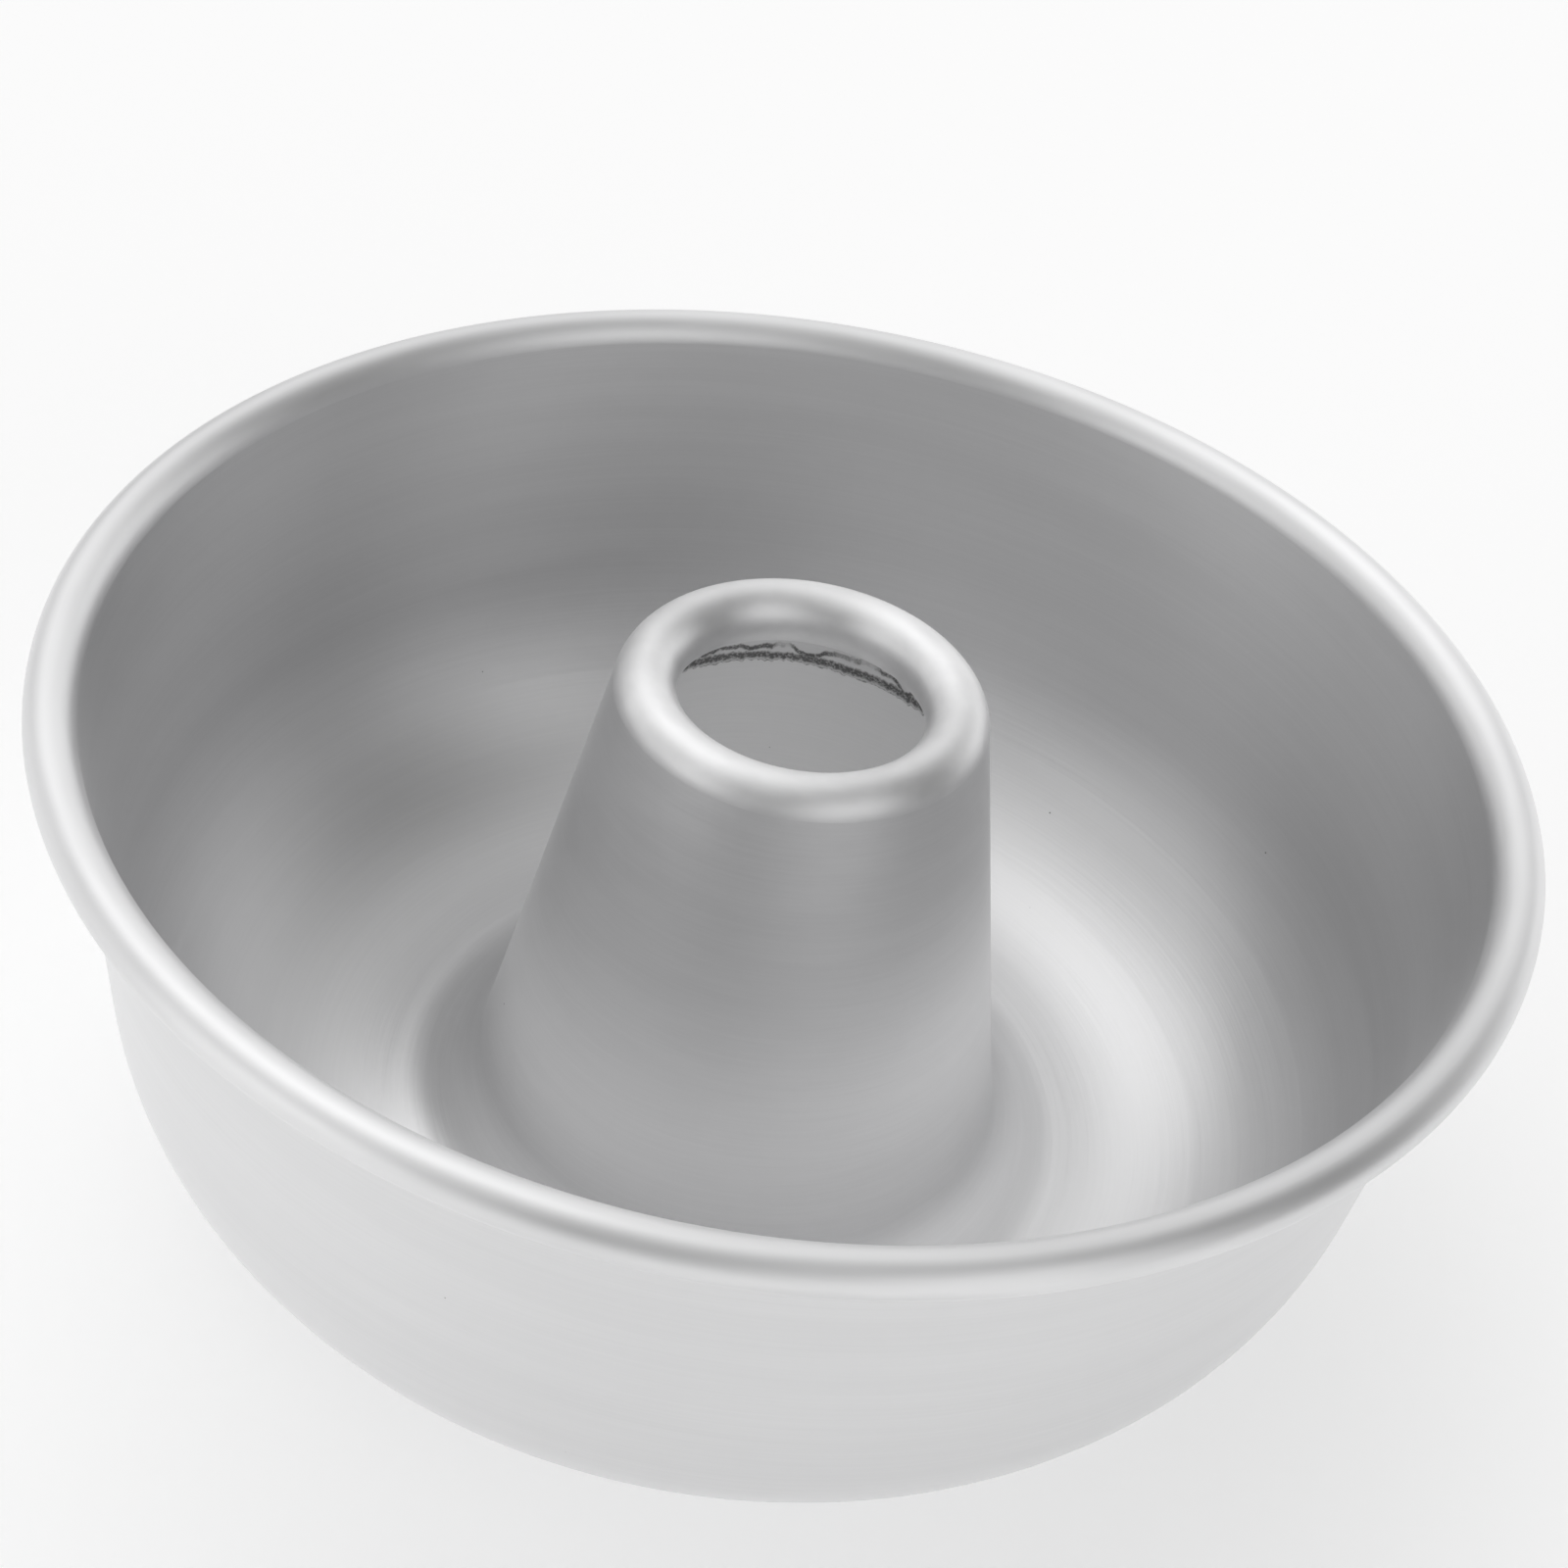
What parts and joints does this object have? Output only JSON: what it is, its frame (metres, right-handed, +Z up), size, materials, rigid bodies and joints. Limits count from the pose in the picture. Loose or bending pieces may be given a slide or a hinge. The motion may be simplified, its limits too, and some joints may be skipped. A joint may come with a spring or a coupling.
{
  "type": "doughnut pan",
  "caption": "Round cake pan with a rolled rim, a rounded trough and an open conical centre tube, spun from satin aluminium sheet, for baking ring-shaped cakes.",
  "frame": {"origin": "on the pan's axis, at the underside of the flat base", "axes": "+Z up along the pan's axis, from the base towards the rim; the pan is round, so +X and +Y are any two directions across it"},
  "size_m": [0.2, 0.2, 0.0802],
  "materials": {
    "satin_sheet": "satin, with fine concentric lines from spinning",
    "burnished_roll": "satin, burnished smooth by the roller",
    "worked_hem": "duller and streaked, with a ragged cut edge"
  },
  "bodies": {
    "root": {"rim_curl": "burnished_roll", "side_wall": "satin_sheet", "upper_shoulder": "satin_sheet", "middle_shoulder": "satin_sheet", "lower_shoulder": "satin_sheet", "base_ring": "satin_sheet", "tube_foot": "satin_sheet", "centre_tube": "satin_sheet", "tube_lip": "burnished_roll", "lip_hem": "worked_hem"}
  },
  "joints": []
}
